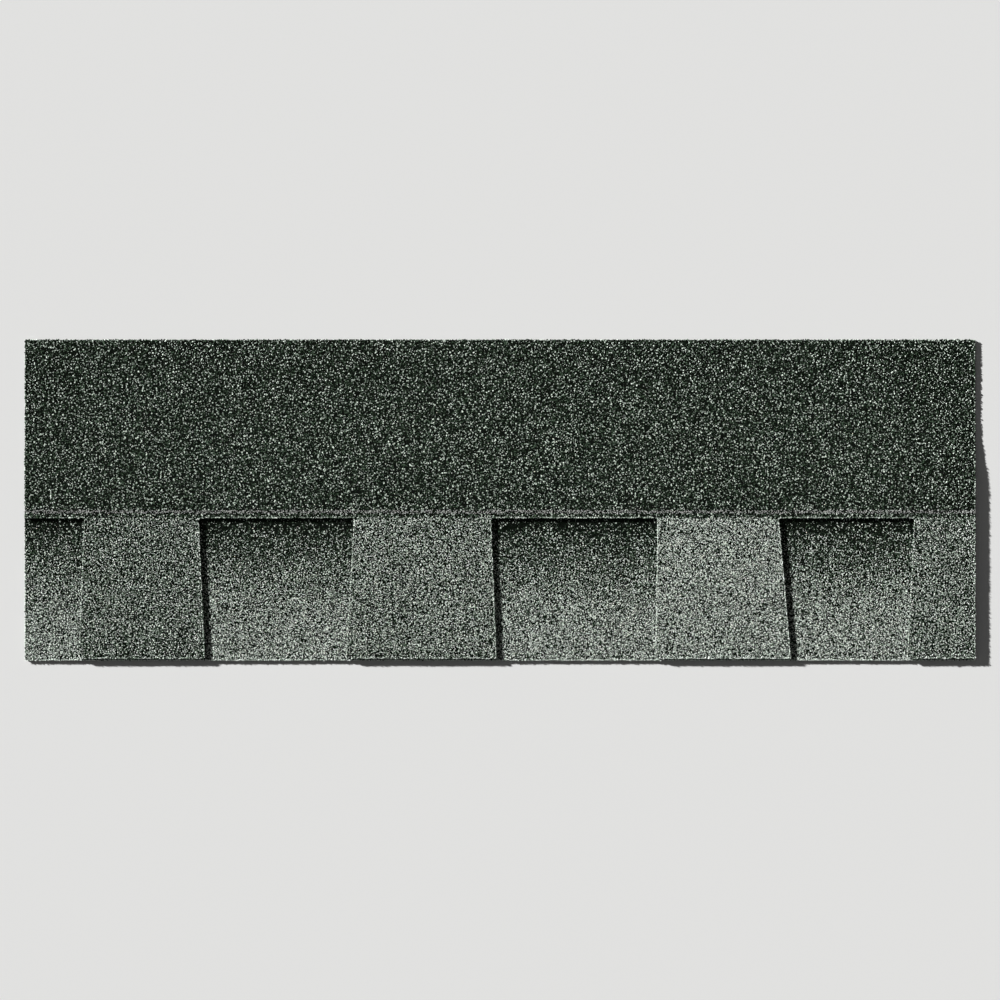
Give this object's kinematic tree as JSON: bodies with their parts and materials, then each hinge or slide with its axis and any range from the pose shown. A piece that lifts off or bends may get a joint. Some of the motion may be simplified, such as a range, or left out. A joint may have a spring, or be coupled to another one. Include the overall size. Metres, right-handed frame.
{
  "type": "laminated asphalt shingle",
  "caption": "Laminated roof shingle lying face up: granule-faced top sheet with flared tabs, bonded over a plain backing strip, with sealant dashes and release film beneath.",
  "frame": {"origin": "on the floor under the middle of the shingle, half way along its length and its height", "axes": "+X along the length, to the right as seen on a roof; +Y from the butt edge up to the head edge; +Z out of the granule face"},
  "size_m": [1, 0.337, 0.0058],
  "materials": {
    "blended_granules": "ceramic-coated mineral granules, mixed dark to pale sage grey, bedded in black asphalt",
    "shadow_band_granules": "mineral granules that run from near black under the slots' roots to sage grey at the butt",
    "laminating_asphalt": "glossy black asphalt",
    "seal_asphalt": "glossy tacky black asphalt",
    "release_film": "thin smooth film, slightly wrinkled"
  },
  "bodies": {
    "root": {"tabbed_top_sheet": "blended_granules", "backing_strip": "shadow_band_granules", "laminating_asphalt": "laminating_asphalt", "self_seal_dashes": "seal_asphalt", "release_film": "release_film"}
  },
  "joints": []
}
